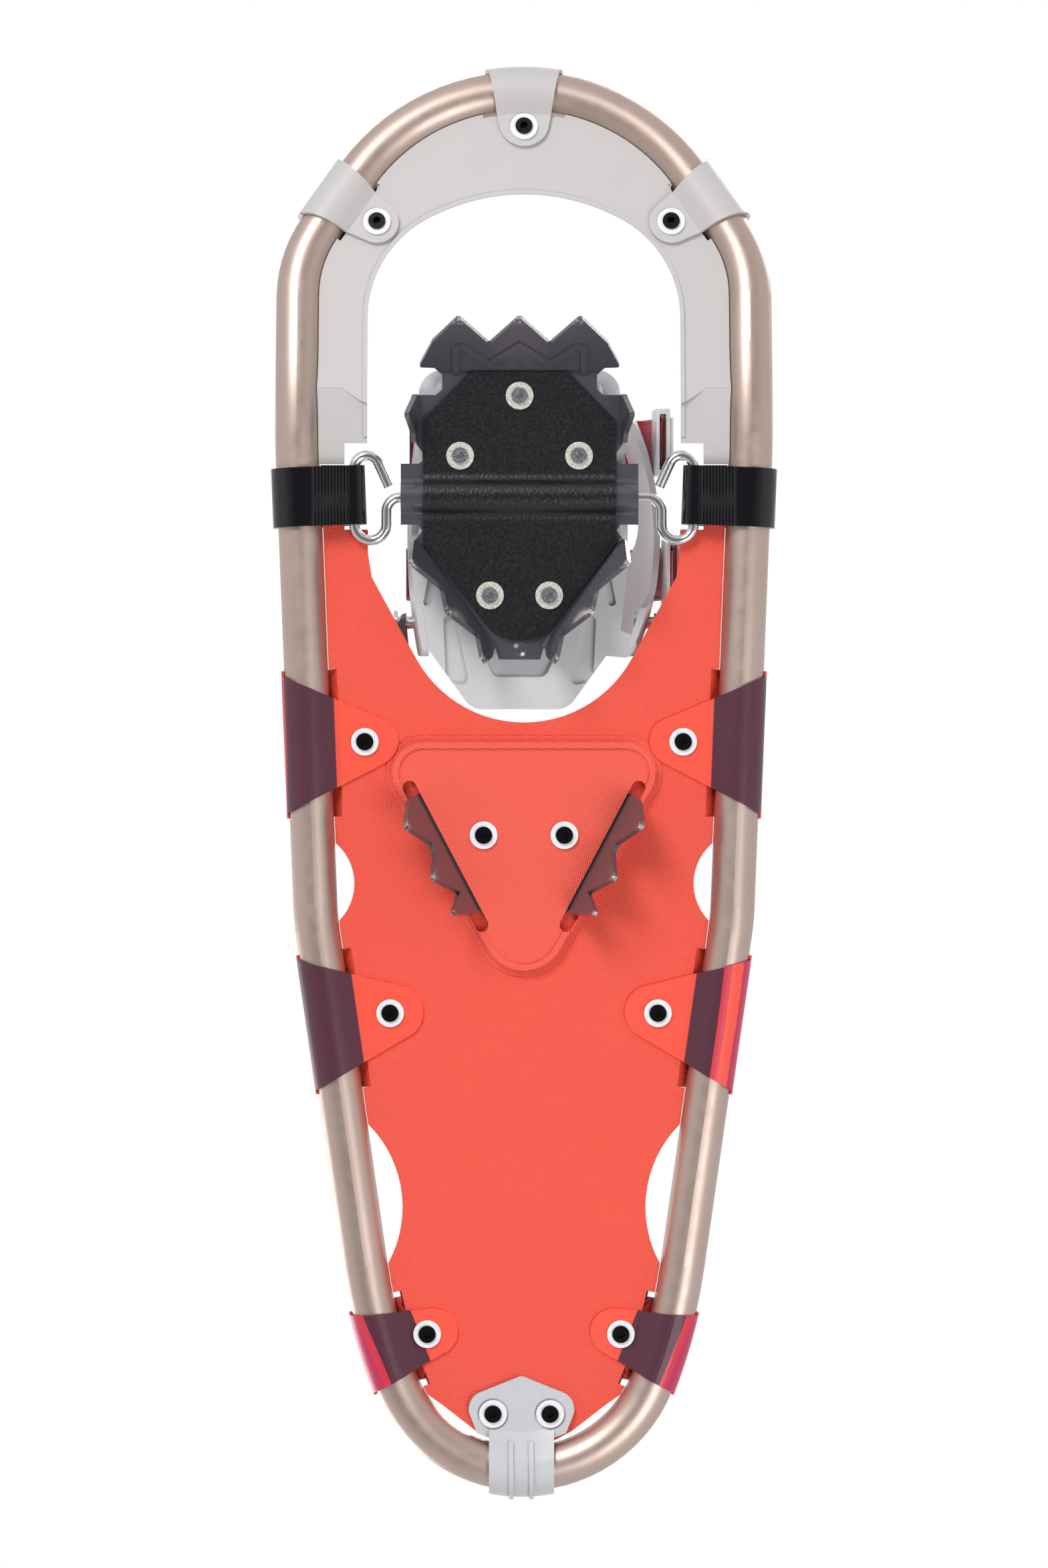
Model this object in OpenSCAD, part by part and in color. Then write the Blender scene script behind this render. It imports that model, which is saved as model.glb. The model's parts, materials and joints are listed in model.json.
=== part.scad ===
// Snowshoe with an aluminium tube frame, a fabric deck and a pivoting binding.
// Millimetres. +Z is up, the toe points to -Y and the tail to +Y, teeth rest on z = 0.
// Inside the modules z = 0 is the height of the frame tube's axis.

/* [Frame tube] */
// outside diameter of the frame tube
tube_d = 18; // [17.6:0.1:18.2]
// wall thickness of the frame tube
tube_wall = 1.6; // [1:0.1:2.5]
// centre-line radius of the nose bend
nose_r = 81.8; // [81:0.2:83]
// radius of the shoulder bends behind the nose
shoulder_r = 53; // [51:0.5:55]
// upward tilt of the nose in degrees
nose_tilt = 14; // [12:0.5:16]

/* [Deck] */
// thickness of the coated deck fabric
deck_t = 1.0; // [0.8:0.1:1.2]
// thickness of the moulded toe deck
toe_t = 1.8; // [1.5:0.1:2]

/* [Pivot] */
// diameter of the pivot wire
rod_d = 4.2; // [4:0.1:4.4]
// thickness of the urethane straps
strap_t = 2.0; // [1.6:0.1:2.2]
// width of the urethane straps
strap_w = 24; // [22:0.5:24]

/* [Crampons] */
// sheet steel thickness
steel_t = 2.0; // [1.6:0.1:2.2]
// depth of the teeth below the top of the crampon plate
tooth_drop = 24; // [20:0.5:26]

/* [Binding] */
// height of the binding base above its underside
base_t = 5.3; // [5:0.1:6.5]
// thickness of the moulded side wings
wing_t = 2.6; // [2.2:0.1:3]
// thickness of the moulded heel strap
heel_strap_t = 3.0; // [2.6:0.1:3.4]
// thickness of the webbing
web_t = 1.6; // [1.2:0.1:1.8]

/* [Hidden] */
$fn = 64;
eps = 0.01;
lap = 0.005;             // how far a collar on the tube's joints stands proud
wire_lap = 0.04;         // the same on the wire
nick = 0.02;             // how far an outline's straight sides lie inside the true tangents
sink = 0.02;             // how far touching plies sink into each other
tube_r = tube_d / 2;
rod_r = rod_d / 2;

// --- frame path, toe end ---
rail_half = 92.2;        // rail centre line to the middle of the shoe
bend_r = 150;            // radius of the upward bend
bend_y = -142;           // where the upward bend starts
bend_end_y = bend_y - bend_r * sin(nose_tilt);
bend_rise = bend_r * (1 - cos(nose_tilt));
nose_len = 110;          // nose centre line ahead of the upward bend's end
nose_turn = 56.3;        // half angle of the nose arc
shoulder_len = (rail_half - nose_r * sin(nose_turn)
    - shoulder_r * (1 - sin(nose_turn))) / cos(nose_turn);

// A path state is [x, y, heading]. Every bend turns left, seen from above.
function ahead(s, d) = [s[0] + d * cos(s[2]), s[1] + d * sin(s[2]), s[2]];
function arc_centre(s, r) = [s[0] - r * sin(s[2]), s[1] + r * cos(s[2])];
function turned(s, r, a) =
    let (c = arc_centre(s, r), h = s[2] + a) [c[0] + r * sin(h), c[1] - r * cos(h), h];

n0 = [0, -nose_len, 0];
n1 = turned(n0, nose_r, nose_turn);
n2 = ahead(n1, shoulder_len);
n3 = turned(n2, shoulder_r, 90 - nose_turn);

// --- frame path, rails and tail ---
taper_r = 300;
taper_turn = 2.26;
front_rail_len = 180;
waist_r = 100;
waist_turn = 5.9;
rear_rail_len = 137;
quarter_r = 220;
quarter_turn = 12.6;
r0 = [rail_half, bend_y, 90];
r1 = turned(r0, taper_r, taper_turn);
r2 = ahead(r1, front_rail_len);
r3 = turned(r2, waist_r, waist_turn);
r4 = ahead(r3, rear_rail_len);
r5 = turned(r4, quarter_r, quarter_turn);
tail_r = r5[0] / sin(r5[2]);
tail_turn = 180 - r5[2];
tail_c = arc_centre(r5, tail_r);
tail_y = tail_c[1] + tail_r;

// --- levels, measured from the tube axis ---
deck_z = -1.5;                         // underside of the deck
toe_z = -3.6;                          // underside of the toe deck
axle_z = -4.2;                         // axis of the pivot wire
axle_y = -116.3;
ground_z = axle_z - tooth_drop;        // tips of every tooth
base_z = 0.2;                          // underside of the binding base's rim
base_top = base_z + base_t;
bind_x = -1.8;                         // middle line of the binding
gap = 0.15;                            // sheet to tube
clear = 0.35;                          // deck edge to tube
nose_front = bend_end_y - (nose_len + tube_r + gap + toe_t) * cos(nose_tilt);
y_shift = -(nose_front + tail_y + tube_r + gap + 3.3) / 2;   // clip and its ribs reach furthest back

// --- crampon channel over the pivot wire ---
bush_r = 4.4;
channel_r = bush_r + 0.05;
plate_t = 1.6;                         // black pivot plate

// --- rivets ---
rivet_r = 2.4;
rivet_hole_r = rivet_r + 0.05;
washer_r = 5.6;
washer_t = 1.0;

// ---------------------------------------------------------------- helpers

module place() translate([0, y_shift, -ground_z]) children();

module both_sides() for (m = [0, 1]) mirror([m, 0, 0]) children();

// Outline round circles [x, y, r], given anticlockwise: straight sides and true arcs.
module tangent_hull(c) {
    n = len(c);
    polygon([for (i = [0 : n - 1])
        let (a = c[i], b = c[(i + 1) % n],
            ra = max(a[2] - nick, 0), rb = max(b[2] - nick, 0),
            d = [b[0] - a[0], b[1] - a[1]],
            h = atan2(d[1], d[0]) - acos((ra - rb) / norm(d)),
            u = [cos(h), sin(h)])
        each [[a[0] + ra * u[0], a[1] + ra * u[1]], [b[0] + rb * u[0], b[1] + rb * u[1]]]]);
    for (k = c)
        if (k[2] > 0) translate([k[0], k[1]]) circle(k[2]);
}

// Strip of constant thickness along points, with round joints.
module strip2d(pts, t)
    for (i = [0 : len(pts) - 2])
        tangent_hull([[pts[i][0], pts[i][1], t / 2], [pts[i + 1][0], pts[i + 1][1], t / 2]]);

module along(s) translate([s[0], s[1], 0]) rotate(s[2]) children();

module in_nose()
    translate([0, bend_end_y, bend_rise]) rotate([-nose_tilt, 0, 0]) children();

// Round bar along segments, each drawn in the frame the last one ends in:
// ["line", length], ["left", radius, angle], ["right", radius, angle] or ["up", radius, angle].
// A collar that stands proud by the height of proud laps every joint by grip on each side.
module chain(segs, r, grip = 0.5, proud = lap, i = 0)
    if (i < len(segs)) {
        s = segs[i];
        if (i > 0) translate([-grip, 0, 0]) rotate([0, 90, 0]) cylinder(h = 2 * grip, r = r + proud);
        if (s[0] == "line") {
            rotate([0, 90, 0]) cylinder(h = s[1], r = r);
            translate([s[1], 0, 0]) chain(segs, r, grip, proud, i + 1);
        }
        if (s[0] == "left") {
            arc(s, r);
            after_arc(s) chain(segs, r, grip, proud, i + 1);
        }
        if (s[0] == "right")
            mirror([0, 1, 0]) {
                arc(s, r);
                after_arc(s) mirror([0, 1, 0]) chain(segs, r, grip, proud, i + 1);
            }
        if (s[0] == "up")
            rotate([90, 0, 0]) {
                arc(s, r);
                after_arc(s) rotate([-90, 0, 0]) chain(segs, r, grip, proud, i + 1);
            }
    }

module arc(s, r)
    translate([0, s[1], 0]) rotate(-90) rotate_extrude(angle = s[2]) translate([s[1], 0]) circle(r);

module after_arc(s)
    translate([0, s[1], 0]) rotate(s[2]) translate([0, -s[1], 0]) children();

tail_slit = 0.2;         // degrees left open where the tube's ends meet, under the tail clip
half_path = [
    ["left", tail_r, tail_turn - tail_slit],
    ["left", quarter_r, quarter_turn],
    ["line", rear_rail_len],
    ["left", waist_r, waist_turn],
    ["line", front_rail_len],
    ["left", taper_r, taper_turn],
    ["up", bend_r, nose_tilt],
    ["line", -n3[1]],
    ["left", shoulder_r, 90 - nose_turn],
    ["line", shoulder_len]];

// Round bar of radius r along the whole frame, from tail round the nose to tail.
module frame_path(r, proud = lap)
    translate([0, tail_c[1], 0]) rotate(180 + tail_slit) translate([0, -tail_r, 0])
        chain(concat(half_path, [["left", nose_r, 2 * nose_turn]],
            [for (i = [len(half_path) - 1 : -1 : 0]) half_path[i]]), r, 0.5, proud);

module frame_tube() {
    color([0.66, 0.54, 0.49])
    difference() {
        frame_path(tube_r);
        frame_path(tube_r - tube_wall);
    }
}

// ---------------------------------------------------------------- wrapped tabs

// Sheet of thickness t round the tube, pinched at [pinch, z] on the inner side.
module wrap_hollow(pinch, z) tangent_hull([[0, 0, tube_r + gap], [pinch, z, 0]]);

module wrap_profile(t, pinch, z, reach) {
    difference() {
        tangent_hull([[0, 0, tube_r + gap + t], [pinch, z, t]]);
        wrap_hollow(pinch, z);
    }
    translate([pinch, z - t]) square([reach - pinch, t + sink]);
}

// Extrudes a profile along the tube near a path state; r is the tube's bend radius, 0 if straight.
module tube_sweep(r, width) {
    if (r > 0) {
        half = 1.2 * asin(width / 2 / r);
        translate([0, r, 0]) rotate(-90 - half) rotate_extrude(angle = 2 * half)
            translate([r, 0]) mirror([1, 0]) children();
    } else
        translate([-width / 2, 0, 0]) rotate([90, 0, 90]) linear_extrude(width) children();
}

// Local x runs along the tube and y inward. The lower ply tapers to a round tip.
module wrap_tab(width, reach, tip_r, t, pinch, z, r = 0) {
    out = tube_r + gap + t;
    intersection() {
        tube_sweep(r, width) wrap_profile(t, pinch, z, reach);
        union() {
            translate([-width / 2, -out - 4, z]) cube([width, out + 4 + pinch, 3 * tube_r]);
            translate([0, 0, z - 3 * tube_r]) linear_extrude(3 * tube_r + sink)
                tangent_hull([[width / 2, -out - 4, 0], [0, reach - tip_r, tip_r],
                    [-width / 2, -out - 4, 0]]);
        }
    }
}

// ---------------------------------------------------------------- toe deck

toe_pinch = 10.35;
toe_end_y = -130;
front_tab = [0, -nose_len, 0];
side_tab = ahead(n1, shoulder_len / 2);
front_rivet = 16.8;
side_rivet = 18.6;

module toe_opening(grow) {
    translate([0, -161.3]) intersection() {
        circle(80.6 + grow);
        polygon([[0, 0], [-100, -173.2], [100, -173.2]]);
    }
    for (side = [-1, 1]) translate([side * 16.95, -190.7]) circle(46.8 + grow);
    translate([-63.75 - grow, -190.7]) square([127.5 + 2 * grow, 70]);
}

// Flat and tilted parts of a sheet that lies inside the frame's toe end.
module toe_slab(z, t) {
    side = rail_half - 4;
    crease = bend_r * tan(nose_tilt / 2);
    in_nose() translate([0, 0, z]) linear_extrude(t) {
        tangent_hull([[0, -nose_len + nose_r, nose_r], [rail_half - shoulder_r, n3[1], shoulder_r],
            [shoulder_r - rail_half, n3[1], shoulder_r]]);
        translate([-side, n3[1]]) square([2 * side, crease + 0.4 - n3[1]]);
    }
    translate([-side, bend_y - crease - 0.4, z]) cube([2 * side, toe_end_y - bend_y + crease + 0.4, t]);
}

module toe_tabs() {
    along(front_tab) wrap_tab(32, 25, 10.3, toe_t, toe_pinch, toe_z, nose_r);
    both_sides() along(side_tab) wrap_tab(29, 27.5, 9, toe_t, toe_pinch, toe_z);
}

module toe_rivet_places()
    in_nose() {
        along(front_tab) translate([0, front_rivet, 0]) children();
        both_sides() along(side_tab) translate([0, side_rivet, 0]) children();
    }

module toe_deck() {
    color([0.80, 0.79, 0.76])
    difference() {
        union() {
            difference() {
                toe_slab(toe_z, toe_t);
                translate([0, 0, -20]) linear_extrude(90) toe_opening(0);
                // room for the wire's eyes
                both_sides() translate([50, -138.5, -20]) cube([23, 20, 40]);
                frame_path(tube_r + clear, 0.05);
                in_nose() {
                    along(front_tab) tube_sweep(nose_r, 32) wrap_hollow(toe_pinch, toe_z);
                    both_sides() along(side_tab) tube_sweep(0, 29) wrap_hollow(toe_pinch, toe_z);
                }
            }
            in_nose() toe_tabs();
            // raised bead round the opening
            intersection() {
                toe_slab(toe_z - 0.8, 0.81);
                translate([0, 0, -20]) linear_extrude(90) difference() {
                    toe_opening(1.6);
                    toe_opening(0);
                    translate([-80, -141]) square([160, 30]);
                }
            }
        }
        toe_rivet_places() translate([0, 0, -20]) cylinder(h = 40, r = rivet_hole_r);
    }
}

// ---------------------------------------------------------------- deck

deck_pinch = 12.6;
deck_tabs = [
    [ahead(r1, 114), 60, 36.5, 9.6, 22.8, 0],
    [ahead(r3, 37), 57, 38, 11, 24.5, 0],
    [turned(r4, quarter_r, 8.9), 35, 31, 9.5, 18.5, quarter_r]];
front_side_tab = deck_tabs[0];
tail_deck_y = 267;

module deck_outline() {
    difference() {
        polygon(concat(
            [[0, -50], [60, -103.4], [73, -103.4], [73, -129.6], [r1[0], -129.6]],
            [for (s = [r2, r3, r4, turned(r4, quarter_r, 6), r5]) [s[0], s[1]]],
            [[43, 245.5], [33, 252.5], [19.5, 263], [12, tail_deck_y], [0, tail_deck_y]]));
        // front cut-out
        translate([0, -75]) circle(50);
        polygon([[0, -51], [43.9, -51], [61.9, -84], [63.5, -94], [63.5, -140], [0, -140]]);
        // side notches
        translate([90.5, 40.5]) circle(21.5);
        translate([96.9, 172]) circle(47.5);
    }
}

module deck_rivet_places()
    both_sides()
        for (k = deck_tabs) along(k[0]) translate([0, k[4], 0]) children();

module heel_slots()
    both_sides() linear_extrude(40, center = true)
        tangent_hull([[46.5, 1.5, 2.8], [17.2, 57.2, 2.8]]);

module deck() {
    color([0.93, 0.36, 0.30])
    difference() {
        union() {
            difference() {
                translate([0, 0, deck_z]) linear_extrude(deck_t) {
                    deck_outline();
                    mirror([1, 0]) deck_outline();
                }
                frame_path(tube_r + clear);
                both_sides()
                    for (k = deck_tabs)
                        along(k[0]) tube_sweep(k[5], k[1]) wrap_hollow(deck_pinch, deck_z);
            }
            both_sides()
                for (k = deck_tabs)
                    along(k[0]) wrap_tab(k[1], k[2], k[3], deck_t, deck_pinch, deck_z, k[5]);
        }
        deck_rivet_places() translate([0, 0, -20]) cylinder(h = 40, r = rivet_hole_r);
        heel_rivet_places() translate([0, 0, -20]) cylinder(h = 40, r = rivet_hole_r);
        clip_rivet_places() translate([0, 0, -20]) cylinder(h = 40, r = rivet_hole_r);
    }
}

// ---------------------------------------------------------------- heel crampon and its cover

heel_plate_top = deck_z - 0.05;
heel_plate_bottom = heel_plate_top - steel_t;
patch_t = 1.2;
patch_bottom = heel_plate_bottom - 0.05 - patch_t;
patch_c = [[-41, -4.5, 13], [41, -4.5, 13], [0, 58.8, 17.4]];

module heel_rivet_places()
    both_sides() translate([16.4, 20.8, 0]) children();

module patch_outline(grow)
    tangent_hull([for (c = patch_c) [c[0], c[1], c[2] + grow]]);

module heel_patch() {
    color([0.94, 0.38, 0.31])
    difference() {
        union() {
            // face, side wall and flange
            translate([0, 0, patch_bottom]) linear_extrude(patch_t) patch_outline(0);
            translate([0, 0, patch_bottom]) linear_extrude(heel_plate_top - patch_bottom)
                difference() {
                    patch_outline(0);
                    patch_outline(-patch_t);
                }
            translate([0, 0, heel_plate_top - 0.8]) linear_extrude(0.8)
                difference() {
                    patch_outline(2);
                    patch_outline(-0.5);
                }
            // bead round the face
            translate([0, 0, patch_bottom - 0.9]) linear_extrude(0.91)
                difference() {
                    patch_outline(-0.6);
                    patch_outline(-3);
                }
        }
        heel_slots();
        heel_rivet_places() translate([0, 0, -20]) cylinder(h = 40, r = rivet_hole_r);
        // room for the tips of the front wrapped tabs
        both_sides() along(front_side_tab[0]) translate([0, front_side_tab[2] - front_side_tab[3], -20])
            cylinder(h = 40, r = front_side_tab[3] + 0.3);
    }
}

// length of a tooth that leaves its plate at the given angle and ends on the ground
function tooth_len(top, angle) = (top - ground_z - steel_t * cos(angle)) / sin(angle);

// Blade bent down from the line y = 0; outline points are [along, out], out growing downward.
module blade(pts, angle)
    translate([0, -0.05, 0]) rotate([angle, 0, 0]) translate([0, 0, -steel_t]) linear_extrude(steel_t)
        polygon([for (p = pts) [p[0], -p[1]]]);

heel_angle = 69;

module heel_crampon() {
    len = tooth_len(heel_plate_top, heel_angle);
    color([0.25, 0.26, 0.28])
    difference() {
        union() {
            translate([0, 0, heel_plate_bottom]) linear_extrude(steel_t)
                polygon([[-42.8, 3], [42.8, 3], [17.8, 52.2], [9, 55], [-9, 55], [-17.8, 52.2]]);
            both_sides()
                translate([43.7, 4.5, heel_plate_top]) rotate(117.8)
                    blade([[0, -2], [0, 0.42 * len], [2, 0.6 * len], [8.6, len], [10.4, len],
                        [20.5, 0.48 * len], [24, 0.52 * len], [32, len], [33.6, len], [43, 0.42 * len],
                        [48.4, 0.98 * len], [49.8, 0.98 * len], [53.5, 0.3 * len], [53.5, -2]],
                        heel_angle);
        }
        translate([0, 0, heel_plate_top]) linear_extrude(5) square(200, center = true);
        heel_rivet_places() translate([0, 0, -20]) cylinder(h = 40, r = rivet_hole_r);
    }
}

// ---------------------------------------------------------------- tail clip

clip_t = 2.2;
clip_x = -1;
clip_half = 13.2;
clip_pinch = 15;
clip_low = deck_z - 0.05 - clip_t;
clip_high = deck_z + deck_t + 0.05;

module clip_rivet_places()
    for (side = [-1, 1]) translate([clip_x + side * 11.6, 255.8, 0]) children();

module clip_plan()
    tangent_hull([[-clip_half, 276, 0], [-14.2, 253.8, 7.2], [0, 244.2, 3.6],
        [14.2, 253.8, 7.2], [clip_half, 276, 0]]);

module clip_loop(grow)
    translate([0, tail_y, 0]) rotate(180) tube_sweep(tail_r, 2 * clip_half + 6) difference() {
        tangent_hull([[0, 0, tube_r + gap + clip_t + grow], [clip_pinch, -1, 2.6 + grow]]);
        tangent_hull([[0, 0, tube_r + gap], [clip_pinch + 0.5, -1, 0.3]]);
        translate([clip_pinch - 6, deck_z - 0.05]) square([20, deck_t + 0.1]);
    }

module tail_clip() {
    color([0.80, 0.79, 0.77])
    translate([clip_x, 0, 0]) difference() {
        union() {
            intersection() {
                clip_loop(0);
                translate([-clip_half, 200, -20]) cube([2 * clip_half, 120, 40]);
            }
            // ribs on the underside
            intersection() {
                clip_loop(1.1);
                for (x = [-4.2, 4]) translate([x - 0.9, tail_y - 12, -20]) cube([1.8, 40, 19]);
            }
            difference() {
                union() {
                    translate([0, 0, clip_low]) linear_extrude(clip_t) mirror([1, 0]) clip_plan();
                    translate([0, 0, clip_high]) linear_extrude(clip_t) mirror([1, 0]) clip_plan();
                }
                translate([0, tail_y, 0]) rotate(180) tube_sweep(tail_r, 60)
                    tangent_hull([[0, 0, tube_r + gap], [clip_pinch, -1, 0.3]]);
            }
        }
        for (side = [-1, 1]) translate([side * 11.6, 255.8, 0]) {
            translate([0, 0, -20]) cylinder(h = 40, r = rivet_hole_r);
            translate([0, 0, clip_low - 1]) cylinder(h = 1.9, r = washer_r + 0.8);
        }
        // the deck's end lies between the two plates
        translate([-40, 200, deck_z - 0.05]) cube([80, tail_deck_y - 200 + 0.3, deck_t + 0.1]);
    }
}

// ---------------------------------------------------------------- rivets and washers

// Hollow rivet through plies between low and high, with a domed head on top.
module rivet(low, high) {
    difference() {
        union() {
            translate([0, 0, low - washer_t - 0.5]) cylinder(h = high - low + washer_t + 1, r = rivet_r);
            translate([0, 0, low - washer_t - 0.9]) cylinder(h = 0.9, r = 3.5);
            translate([0, 0, high + 0.05]) cylinder(h = 0.8, r = 4.8);
            translate([0, 0, high + 0.85]) cylinder(h = 0.5, r1 = 4.8, r2 = 3.6);
        }
        translate([0, 0, low - washer_t - 1]) cylinder(h = 3.2, r = 1.6);
    }
}

module washer(low)
    translate([0, 0, low - washer_t]) difference() {
        cylinder(h = washer_t - 0.02, r = washer_r);
        translate([0, 0, -1]) cylinder(h = 3, r = rivet_hole_r);
    }

module toe_rivets()
    color([0.20, 0.20, 0.21]) toe_rivet_places() rivet(toe_z - toe_t, toe_z + toe_t);

module toe_washers()
    color([0.92, 0.92, 0.93]) toe_rivet_places() washer(toe_z - toe_t);

module deck_rivets()
    color([0.20, 0.20, 0.21]) deck_rivet_places() rivet(deck_z - deck_t, deck_z + deck_t);

module deck_washers()
    color([0.92, 0.92, 0.93]) deck_rivet_places() washer(deck_z - deck_t);

module heel_rivets()
    color([0.20, 0.20, 0.21]) heel_rivet_places() rivet(patch_bottom, deck_z + deck_t);

module heel_washers()
    color([0.92, 0.92, 0.93]) heel_rivet_places() washer(patch_bottom);

module clip_rivets()
    color([0.20, 0.20, 0.21]) clip_rivet_places() rivet(clip_low + 0.9, clip_high + clip_t);

module clip_washers()
    color([0.92, 0.92, 0.93]) clip_rivet_places() washer(clip_low + 0.9);

// ---------------------------------------------------------------- pivot wire and straps

wire_x = 50.2;          // end of the straight axle
hook_r = 6.5;
eye_r = 5;
leg_x = wire_x + 5.7 + 2 * hook_r;

half_wire = [
    ["line", wire_x],
    ["left", 5.7, 90],
    ["line", 5.2],
    ["right", hook_r, 180],
    ["line", 22.9],
    ["right", eye_r, 156],
    ["line", 10.6]];

module axle_rod() {
    color([0.75, 0.76, 0.77])
    translate([0, axle_y, axle_z]) {
        translate([-0.5, 0, 0]) rotate([0, 90, 0]) cylinder(h = 1, r = rod_r + wire_lap);
        both_sides() chain(half_wire, rod_r, 0.3, wire_lap);
    }
}

// Closed loop round the rail and the wire's leg.
module strap_loop() {
    rail_u = 0;
    leg_u = r1[0] - 0.55 - leg_x;
    along(ahead(r1, 1.9)) rotate([90, 0, 90]) linear_extrude(strap_w) difference() {
        tangent_hull([[rail_u, 0, tube_r + 0.1 + strap_t], [leg_u, axle_z, rod_r + 0.6 + strap_t]]);
        tangent_hull([[rail_u, 0, tube_r + 0.1], [leg_u, axle_z, rod_r + 0.6]]);
    }
}

module strap_right() color([0.04, 0.04, 0.045]) strap_loop();

module strap_left() color([0.04, 0.04, 0.045]) mirror([1, 0, 0]) strap_loop();

// ---------------------------------------------------------------- toe crampon

claw_angle = 48;
flange_angle = 79;
wing_angle = 71;
ear_half = 48.2;

module hump(r, bottom, f) {
    // lower half of a channel of radius r, blended into a plate underside with fillets of radius f
    fz = bottom - f;
    fy = sqrt((r + f) * (r + f) - (fz - axle_z) * (fz - axle_z));
    difference() {
        union() {
            translate([axle_y, axle_z]) circle(r);
            polygon([[axle_y - fy, bottom], [axle_y - fy, fz], [axle_y, axle_z],
                [axle_y + fy, fz], [axle_y + fy, bottom], [axle_y, axle_z + eps]]);
        }
        for (side = [-1, 1]) translate([axle_y + side * fy, fz]) circle(f);
        translate([axle_y - 30, axle_z]) square([60, 20]);
    }
}

// Extrudes a profile drawn in y and z along x, over |x| <= half.
module across(half)
    translate([-half, 0, 0]) rotate([90, 0, 90]) linear_extrude(2 * half) children();

module crampon_outline() {
    half = [[0, -167.5], [31.4, -167.5], [31.4, -160], [34, -157.8], [42, -157.8], [42, -138],
        [39.4, -134.5], [39.4, -131], [41, -129.9], [ear_half, -129.9], [ear_half, -105.2],
        [41, -105.2], [39.4, -102.8], [42.2, -99], [9.7, -55], [8.4, -50.5], [0, -50.5]];
    polygon(half);
    mirror([1, 0]) polygon(half);
}

module crampon_plate() {
    translate([0, 0, axle_z - steel_t]) linear_extrude(steel_t) crampon_outline();
    intersection() {
        across(60) hump(channel_r + steel_t, axle_z - steel_t, 2.5);
        translate([0, 0, -30]) linear_extrude(60) crampon_outline();
    }
}

module binding_rivet_places()
    for (p = [[0, -157.3], [24.1, -133], [-24.1, -133], [12, -76.4], [-12, -76.4]])
        translate([p[0], p[1], 0]) children();

module toe_crampon() {
    claw = tooth_len(axle_z, claw_angle);
    side = tooth_len(axle_z, flange_angle);
    wing = tooth_len(axle_z, wing_angle);
    color([0.27, 0.28, 0.30])
    translate([bind_x, 0, 0]) difference() {
        union() {
            crampon_plate();
            // front claw with its pressed zigzag
            translate([0, -167.5, axle_z]) {
                both_sides() blade([[-1, -2], [31.5, -2], [31.5, 0], [34.5, 0.12 * claw],
                    [40.1, 0.13 * claw], [40.4, 0.17 * claw], [35.3, 0.58 * claw],
                    [25.2, claw], [23.8, claw], [12.2, 0.55 * claw], [0.8, claw], [-1, claw]],
                    claw_angle);
                rotate([claw_angle, 0, 0]) translate([0, 0, -steel_t - 0.9]) linear_extrude(0.91)
                    both_sides() strip2d([[26, -1], [26, -0.5 * claw], [23, -0.52 * claw],
                        [12.2, -0.22 * claw], [0, -0.55 * claw]], 2.6);
            }
            both_sides() {
                // side flange
                translate([42, -157.8, axle_z]) rotate(90)
                    blade([[0.1, -2], [0.1, 0.3 * side], [2, 0.42 * side], [8.5, 0.92 * side],
                        [10, 0.92 * side], [16, 0.45 * side], [19.7, 0.36 * side], [19.7, -2]],
                        flange_angle);
                // rear blade
                translate([42.2, -99, axle_z]) rotate(atan2(44, -32.5))
                    blade([[0, -2], [0, 0.3 * wing], [6.6, wing], [8.4, wing], [22.5, 0.52 * wing],
                        [31.2, wing], [32.8, wing], [46, 0.48 * wing], [55, wing],
                        [57.6, 0.96 * wing], [57, 0.6 * wing], [54.6, 0.3 * wing], [54.6, -2]],
                        wing_angle);
            }
        }
        translate([-80, axle_y, axle_z]) rotate([0, 90, 0]) cylinder(h = 160, r = channel_r);
        translate([0, 0, axle_z]) linear_extrude(8) square(400, center = true);
        binding_rivet_places() translate([0, 0, -20]) cylinder(h = 40, r = rivet_hole_r);
        // pressed dimple at the rear
        translate([0, -54.6, axle_z - steel_t - 5.2]) sphere(6);
    }
}

// ---------------------------------------------------------------- pivot plate

module pivot_plate() {
    top = axle_z - steel_t - 0.05;
    color([0.03, 0.03, 0.035])
    translate([bind_x, 0, 0]) difference() {
        intersection() {
            translate([0, 0, -30]) linear_extrude(40)
                tangent_hull([[-18.5, -163.7, 3.4], [18.5, -163.7, 3.4], [35, -146, 4],
                    [35.2, -98.5, 4], [0, -76.4, 18.2], [-35.2, -98.5, 4], [-35, -146, 4]]);
            across(60) {
                hump(channel_r + steel_t + plate_t + 0.05, top - plate_t, 5);
                translate([-200, top - plate_t]) square([200, plate_t]);
            }
        }
        across(70) {
            hump(channel_r + steel_t + 0.05, top, 2.4);
            translate([axle_y - 30, top]) square([60, 20]);
        }
        binding_rivet_places() translate([0, 0, -20]) cylinder(h = 40, r = rivet_hole_r);
    }
}

plate_bottom = axle_z - steel_t - 0.05 - plate_t;

module binding_washers()
    color([0.78, 0.76, 0.70])
    translate([bind_x, 0, 0]) binding_rivet_places() washer(plate_bottom);

// Rivet heads sink into the base.
module binding_rivets()
    color([0.70, 0.71, 0.72])
    translate([bind_x, 0, 0]) binding_rivet_places() difference() {
        union() {
            translate([0, 0, plate_bottom - washer_t])
                cylinder(h = base_top - 1.4 - plate_bottom + washer_t, r = rivet_r);
            translate([0, 0, plate_bottom - washer_t - 1.1]) cylinder(h = 1.1, r = 3.3);
            translate([0, 0, base_top - 1.4]) cylinder(h = 1.2, r = 4.6);
        }
        translate([0, 0, plate_bottom - washer_t - 2]) cylinder(h = 4, r = 1.5);
    }

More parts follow.
